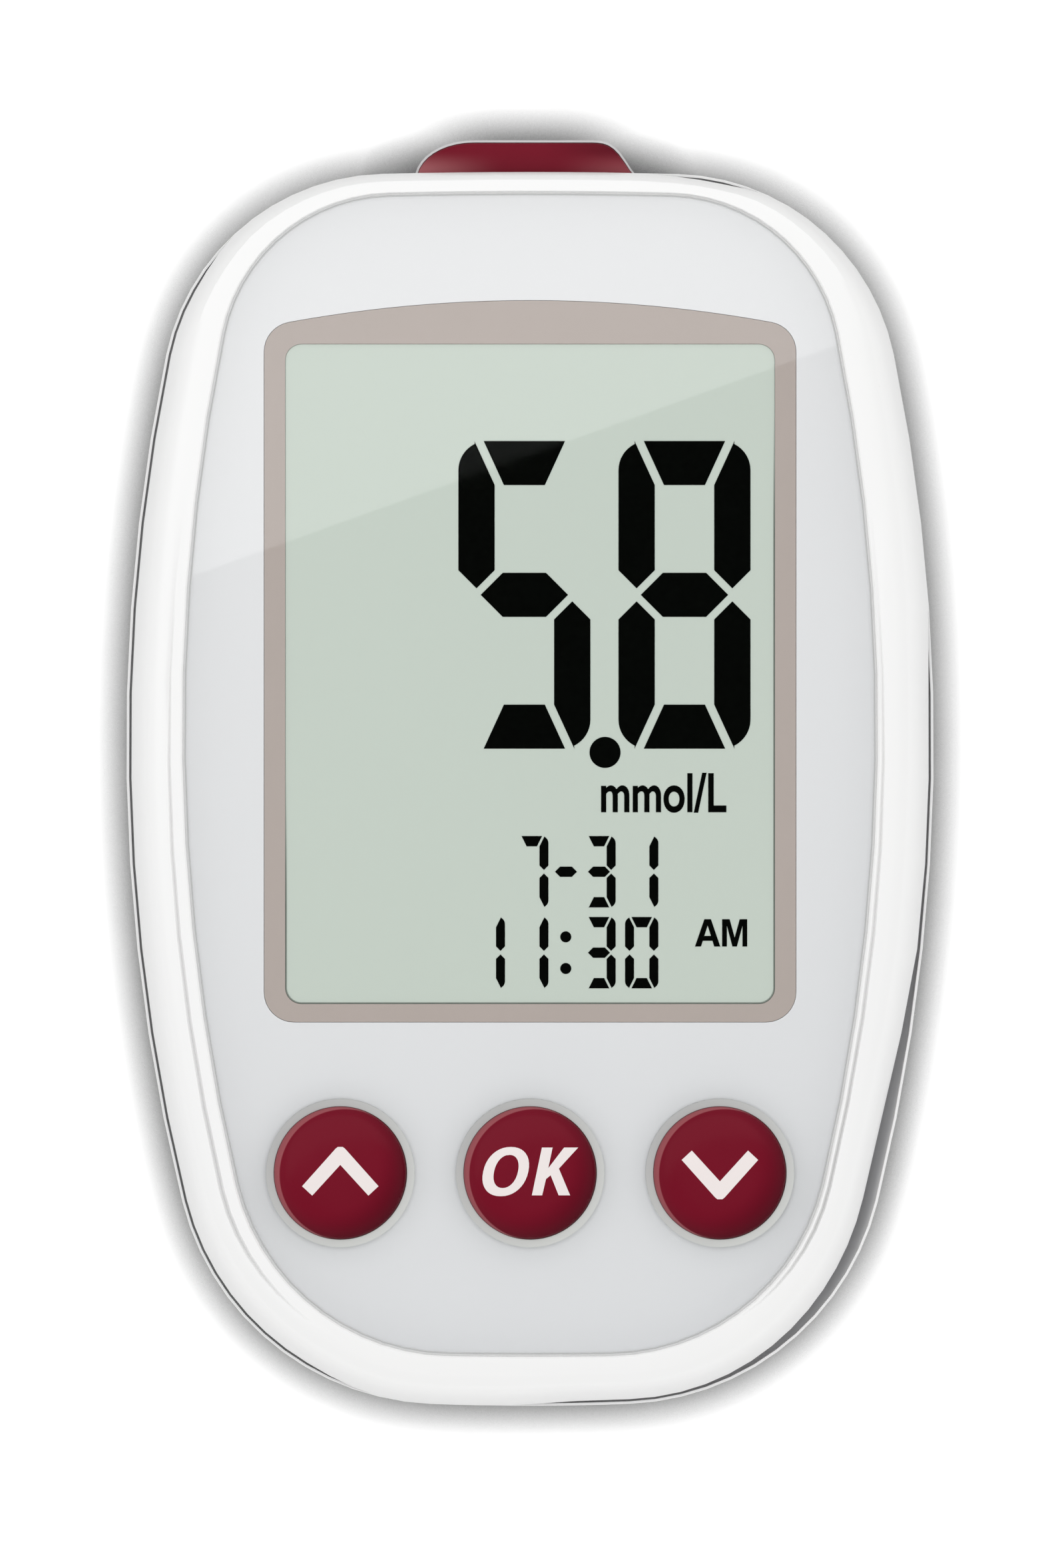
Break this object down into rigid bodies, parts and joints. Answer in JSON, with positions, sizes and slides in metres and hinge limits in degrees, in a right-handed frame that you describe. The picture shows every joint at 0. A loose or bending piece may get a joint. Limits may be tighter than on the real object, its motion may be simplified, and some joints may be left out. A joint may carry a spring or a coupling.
{
  "type": "blood glucose meter",
  "caption": "Pocket blood glucose meter with a large display behind a flat clear lens, round keys below it, a strip port at the top end and a slide-off battery door.",
  "frame": {"origin": "on the table under the middle of the whole outline, with the meter lying on its back", "axes": "+Z out of the display, +Y along the length towards the strip port, +X to the right of the display"},
  "size_m": [0.0542, 0.085, 0.0171],
  "materials": {
    "white_shell": "moulded white ABS, semi-gloss",
    "clear_lens": "clear hard-coated acrylic, high gloss",
    "pearl_film": "pearl-grey print behind the lens, satin",
    "taupe_frame": "taupe, satin",
    "lcd_glass": "grey-green liquid crystal glass under a polariser",
    "diffuser": "white moulded plastic",
    "elastomer": "layered conductive elastomer",
    "board": "green solder mask on glass epoxy",
    "black_plastic": "black moulded plastic",
    "burgundy_plastic": "burgundy moulded plastic, satin gloss",
    "spring_steel": "bright steel",
    "grey_silicone": "grey silicone, matte",
    "gold_contact": "gold-plated bronze",
    "grey_plastic": "grey moulded plastic, fine texture",
    "natural_plastic": "unpainted acetal",
    "cell_steel": "nickel-plated steel"
  },
  "bodies": {
    "housing": {"front_case": "white_shell", "face_lens": "clear_lens", "graphic_film": "pearl_film", "display_bezel": "taupe_frame", "lcd_panel": "lcd_glass", "lcd_backlight": "diffuser", "lcd_holder": "diffuser", "zebra_strips": "elastomer", "main_board": "board", "board_chips": "black_plastic", "up_dome": "spring_steel", "ok_dome": "spring_steel", "down_dome": "spring_steel", "key_gasket": "grey_silicone", "strip_port": "burgundy_plastic", "strip_connector": "black_plastic", "strip_contacts": "gold_contact", "eject_spring": "spring_steel", "rear_case": "white_shell", "cell_upper": "cell_steel", "cell_lower": "cell_steel", "battery_clips": "gold_contact", "battery_springs": "gold_contact", "case_screws": "spring_steel", "board_screws": "spring_steel", "buzzer": "gold_contact"},
    "up_key": {"up_button": "burgundy_plastic"},
    "ok_key": {"ok_button": "burgundy_plastic"},
    "down_key": {"down_button": "burgundy_plastic"},
    "ejector": {"eject_slider": "grey_plastic", "eject_pusher": "natural_plastic"},
    "door": {"battery_door": "white_shell"}
  },
  "joints": [
    {"name": "up_press", "type": "slide", "parent": "housing", "child": "up_key", "axis": [0, 0, -1], "range_m": [0, 0.0004], "stiffness_N_per_m": 2500, "deforming": ["up_dome"]},
    {"name": "ok_press", "type": "slide", "parent": "housing", "child": "ok_key", "axis": [0, 0, -1], "range_m": [0, 0.0004], "stiffness_N_per_m": 2500, "deforming": ["ok_dome"]},
    {"name": "down_press", "type": "slide", "parent": "housing", "child": "down_key", "axis": [0, 0, -1], "range_m": [0, 0.0004], "stiffness_N_per_m": 2500, "deforming": ["down_dome"]},
    {"name": "strip_eject", "type": "slide", "parent": "housing", "child": "ejector", "axis": [0, 1, 0], "range_m": [0, 0.0045], "stiffness_N_per_m": 150, "deforming": ["eject_spring"]},
    {"name": "door_slide", "type": "slide", "parent": "housing", "child": "door", "axis": [0, -1, 0], "range_m": [0, 0.06]}
  ]
}
